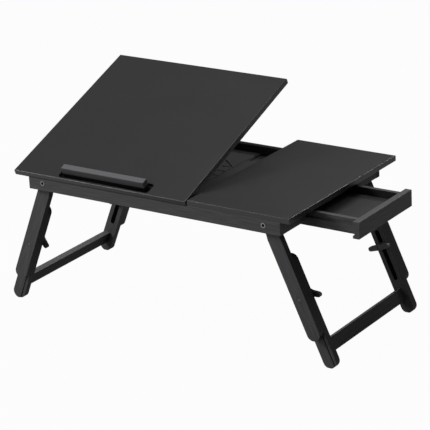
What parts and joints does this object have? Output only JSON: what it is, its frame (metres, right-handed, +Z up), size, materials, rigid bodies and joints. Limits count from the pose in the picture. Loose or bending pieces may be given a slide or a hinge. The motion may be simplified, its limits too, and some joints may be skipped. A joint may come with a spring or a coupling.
{
  "type": "laptop stand with drawer",
  "caption": "Folding lap desk: tilting panel with a laptop stop and prop, fixed side panel with a small drawer, splayed folding legs that slide longer.",
  "frame": {"origin": "on the floor under the middle of the whole stand, with the drawer as drawn out at rest", "axes": "+X along the table towards the drawer, +Y from the front edge to the back, +Z up"},
  "size_m": [0.6822, 0.3419, 0.3701],
  "materials": {
    "dark_wood": "satin black lacquer over close grain",
    "dark_board": "satin black lacquered board",
    "bolt_steel": "darkened steel with worn bright rims",
    "plain_steel": "plain bright steel",
    "knob_plastic": "fine matt black moulding"
  },
  "bodies": {
    "frame": {"fixed_top": "dark_wood", "front_rail": "dark_wood", "back_rail": "dark_wood", "left_end_rail": "dark_wood", "middle_rail": "dark_wood", "right_rail_front": "dark_wood", "right_rail_rear": "dark_wood", "hinge_lugs": "plain_steel", "vent_board": "dark_board", "batten_front": "dark_wood", "batten_rear": "dark_wood", "rack_left": "dark_wood", "rack_right": "dark_wood", "pivot_bolts": "bolt_steel", "pivot_nuts": "bolt_steel", "drawer_guide_front": "dark_wood", "drawer_guide_rear": "dark_wood", "runner_strip_front": "dark_wood", "runner_strip_rear": "dark_wood", "guide_screws": "bolt_steel"},
    "tilt_panel": {"tilt_top": "dark_wood", "hinge_pins": "plain_steel", "stop_pins": "plain_steel", "prop_blocks": "dark_wood", "prop_rod": "plain_steel"},
    "laptop_stop": {"stop_bar": "dark_wood"},
    "prop": {"prop_arm_left": "dark_wood", "prop_arm_right": "dark_wood", "prop_foot_bar": "dark_wood"},
    "left_legs": {"left_upper_leg_front": "dark_wood", "left_upper_leg_rear": "dark_wood", "left_leg_bolts": "bolt_steel"},
    "left_feet": {"left_lower_leg_front": "dark_wood", "left_lower_leg_rear": "dark_wood", "left_stretcher": "dark_wood"},
    "left_knob_front": {"left_wing_knob_front": "knob_plastic"},
    "left_knob_rear": {"left_wing_knob_rear": "knob_plastic"},
    "right_legs": {"right_upper_leg_front": "dark_wood", "right_upper_leg_rear": "dark_wood", "right_leg_bolts": "bolt_steel"},
    "right_feet": {"right_lower_leg_front": "dark_wood", "right_lower_leg_rear": "dark_wood", "right_stretcher": "dark_wood"},
    "right_knob_front": {"right_wing_knob_front": "knob_plastic"},
    "right_knob_rear": {"right_wing_knob_rear": "knob_plastic"},
    "drawer": {"drawer_front": "dark_wood", "drawer_side_front": "dark_wood", "drawer_side_rear": "dark_wood", "drawer_back": "dark_wood", "drawer_floor": "dark_board"}
  },
  "joints": [
    {"name": "panel_tilt", "type": "hinge", "parent": "frame", "child": "tilt_panel", "pos_m": [-0.11791, -0.164, 0.2465], "axis": [1, 0, 0], "range_deg": [-20.5, 14.5]},
    {"name": "stop_fold", "type": "hinge", "parent": "tilt_panel", "child": "laptop_stop", "pos_m": [-0.11366, -0.1516, 0.25616], "axis": [1, 0, 0], "range_deg": [0, 90]},
    {"name": "prop_swing", "type": "hinge", "parent": "tilt_panel", "child": "prop", "pos_m": [-0.09866, -0.0305, 0.28921], "axis": [-1, 0, 0], "range_deg": [-47.5, 33.8]},
    {"name": "drawer_slide", "type": "slide", "parent": "frame", "child": "drawer", "axis": [1, 0, 0], "range_m": [-0.091, 0.04]},
    {"name": "left_leg_fold", "type": "hinge", "parent": "frame", "child": "left_legs", "pos_m": [-0.23616, -0.013, 0.2355], "axis": [0, -1, 0], "range_deg": [0, 103.5]},
    {"name": "left_leg_extend", "type": "slide", "parent": "left_legs", "child": "left_feet", "axis": [0.3827, 0, 0.9239], "range_m": [-0.02, 0.04]},
    {"name": "left_knob_turn_front", "type": "hinge", "parent": "left_legs", "child": "left_knob_front", "pos_m": [-0.28706, -0.1275, 0.11262], "axis": [0, 1, 0], "continuous": true},
    {"name": "left_knob_turn_rear", "type": "hinge", "parent": "left_legs", "child": "left_knob_rear", "pos_m": [-0.28706, 0.1015, 0.11262], "axis": [0, -1, 0], "continuous": true},
    {"name": "right_leg_fold", "type": "hinge", "parent": "frame", "child": "right_legs", "pos_m": [0.20684, -0.013, 0.2355], "axis": [0, 1, 0], "range_deg": [0, 105]},
    {"name": "right_leg_extend", "type": "slide", "parent": "right_legs", "child": "right_feet", "axis": [-0.4067, 0, 0.9135], "range_m": [-0.02, 0.04]},
    {"name": "right_knob_turn_front", "type": "hinge", "parent": "right_legs", "child": "right_knob_front", "pos_m": [0.26093, -0.1275, 0.114], "axis": [0, 1, 0], "continuous": true},
    {"name": "right_knob_turn_rear", "type": "hinge", "parent": "right_legs", "child": "right_knob_rear", "pos_m": [0.26093, 0.1015, 0.114], "axis": [0, -1, 0], "continuous": true}
  ],
  "couplings": [
    {"joint": "prop_swing", "follows": "panel_tilt", "ratio": 2.3076}
  ]
}
